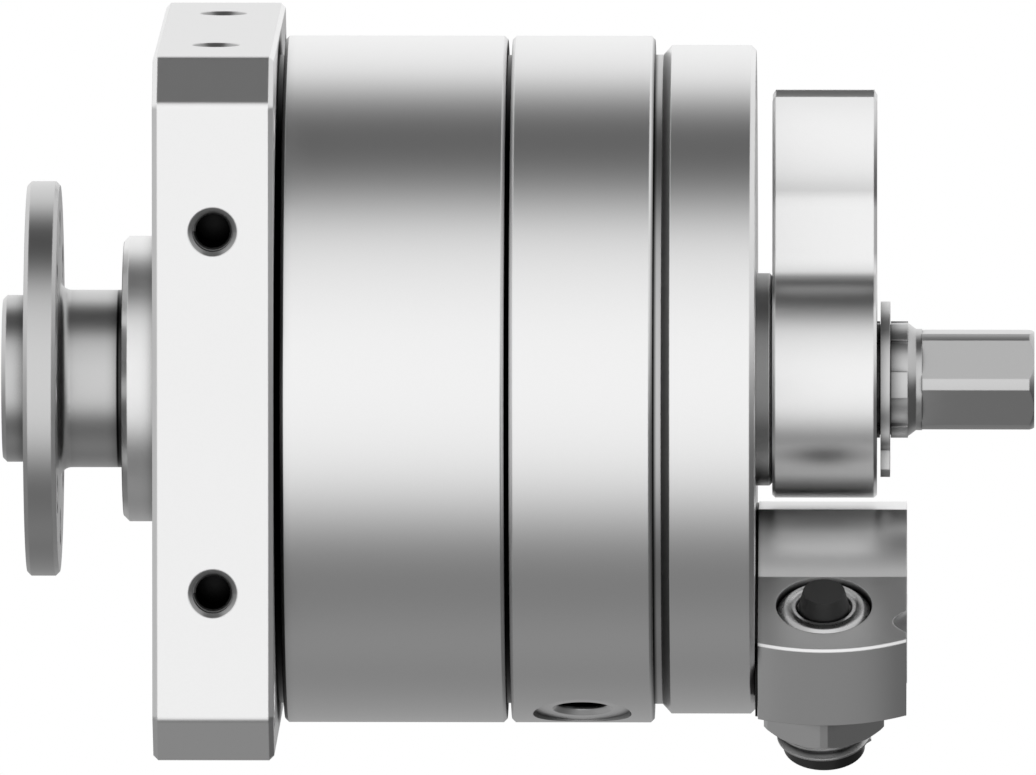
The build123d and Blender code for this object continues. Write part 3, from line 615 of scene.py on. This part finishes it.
# %% [markdown]
# ## The seam behind the carrier
# The carrier stands a quarter of a millimetre off the ring, and that seam lies in shade nearly all
# the way down. A thin black sheet paints that shade: a slice of the carrier's own outline, cut
# off with two planes, closed, and drawn in a little so that it stays behind the edge. The outline
# could be drawn again, but the slice follows the carrier by itself.

# %% A thin black sheet of painted shade
seam_shade_place, seam_shade_thickness, seam_shade_size = 49.7, 0.2, 0.98
slice_place = 50.1
seam_shade_middle = Vector((0, 0, -15.0)) * mm

seam_shade = copy_of("stop_carrier")
for place, facing in ((slice_place, -1), (slice_place + seam_shade_thickness, 1)):
    everything = seam_shade.verts[:] + seam_shade.edges[:] + seam_shade.faces[:]
    cut = bmesh.ops.bisect_plane(
        seam_shade, geom=everything, plane_co=(place * mm, 0, 0), plane_no=(facing, 0, 0),
        clear_outer=True)
    rim = [edge for edge in cut["geom_cut"] if isinstance(edge, bmesh.types.BMEdge)]
    bmesh.ops.triangle_fill(seam_shade, edges=rim, use_beauty=True)
bmesh.ops.translate(seam_shade, vec=((seam_shade_place - slice_place) * mm, 0, 0), verts=seam_shade.verts)
bmesh.ops.scale(
    seam_shade, vec=(1, seam_shade_size, seam_shade_size), space=Matrix.Translation(-seam_shade_middle), verts=seam_shade.verts)
# A black sheet of painted shade in the seam, not a real part.
seam_shade_black = metal("black seam shade", 0.06, 0.4, False)
piece_from(seam_shade, "carrier_seam_shade", "stator", seam_shade_black)

# %% [markdown]
# ## Threaded stops
# Each stop is a screw, and the end that stands out below its lock nut shows the thread. The solid
# is a plain rod, so a copy of it stands in: its tail is drawn in to the thread's core and gets a
# ridge. The solid's triangles are loose, so their doubles are merged first, and two cuts round the
# rod give the tail edges of its own to move. At the other end the mouth is rolled in a little to
# hold the buffer: a small outline, spun once round.

# %% Thread the tail and roll the lip
stop_tail, stop_lean = -23.6, radians(30)
thread_pitch, thread_start, thread_end = 1.0, 0.15, 4.9
shoulder = 0.3
# The lip's outline: distance from the stop's axis, and height above the end of its tail.
rolled_lip = (
    (2.65, 13.9), (2.38, 13.9), (2.27, 14.02), (2.27, 14.28), (2.38, 14.4), (2.65, 14.4))


def stop_axis(side):
    """The matrix that takes Z to a stop's axis, from the end of its tail."""
    up = Vector((0, side * sin(stop_lean), cos(stop_lean)))
    out = Vector((0, side * cos(stop_lean), -sin(stop_lean)))
    return on_axis(Vector((lever_middle, 0, 0)) + out * stop_circle + up * stop_tail, up)


def thread_tail(stop):
    """Draw the tail in to the thread's core, below two cuts, and wind the ridge on it."""
    for height in (thread_end, thread_end + shoulder):
        everything = stop.verts[:] + stop.edges[:] + stop.faces[:]
        bmesh.ops.bisect_plane(
            stop, geom=everything, plane_co=(0, 0, height * mm), plane_no=(0, 0, 1))
    for corner in stop.verts:
        reach = corner.co.xy.length
        if reach > thread_core * mm and corner.co.z < (thread_end + 0.1) * mm:
            corner.co.xy *= thread_core * mm / reach
    ridge(stop, thread_core - 0.02, thread_top, thread_pitch, thread_start, thread_end, steps=48)


def roll_lip(stop):
    """Spin the lip's outline once round the mouth."""
    lip = [stop.verts.new((radius * mm, 0, height * mm)) for radius, height in rolled_lip]
    outline = [stop.edges.new((lip[i - 1], lip[i])) for i in range(len(lip))]
    bmesh.ops.spin(
        stop, geom=lip + outline, axis=(0, 0, 1), angle=2 * pi, steps=64, use_merge=True)


# %% The two stop screws
for name, side in (("left", -1), ("right", 1)):
    tail = stop_axis(side)
    stop = copy_of(name + "_stop_sleeve")
    bmesh.ops.transform(stop, matrix=tail.inverted(), verts=stop.verts)
    thread_tail(stop)
    roll_lip(stop)
    bmesh.ops.transform(stop, matrix=tail, verts=stop.verts)
    piece = piece_from(
        stop, name + "_stop_screw", name + "_stop", finishes["stop_steel"])
    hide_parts(name + "_stop_sleeve")
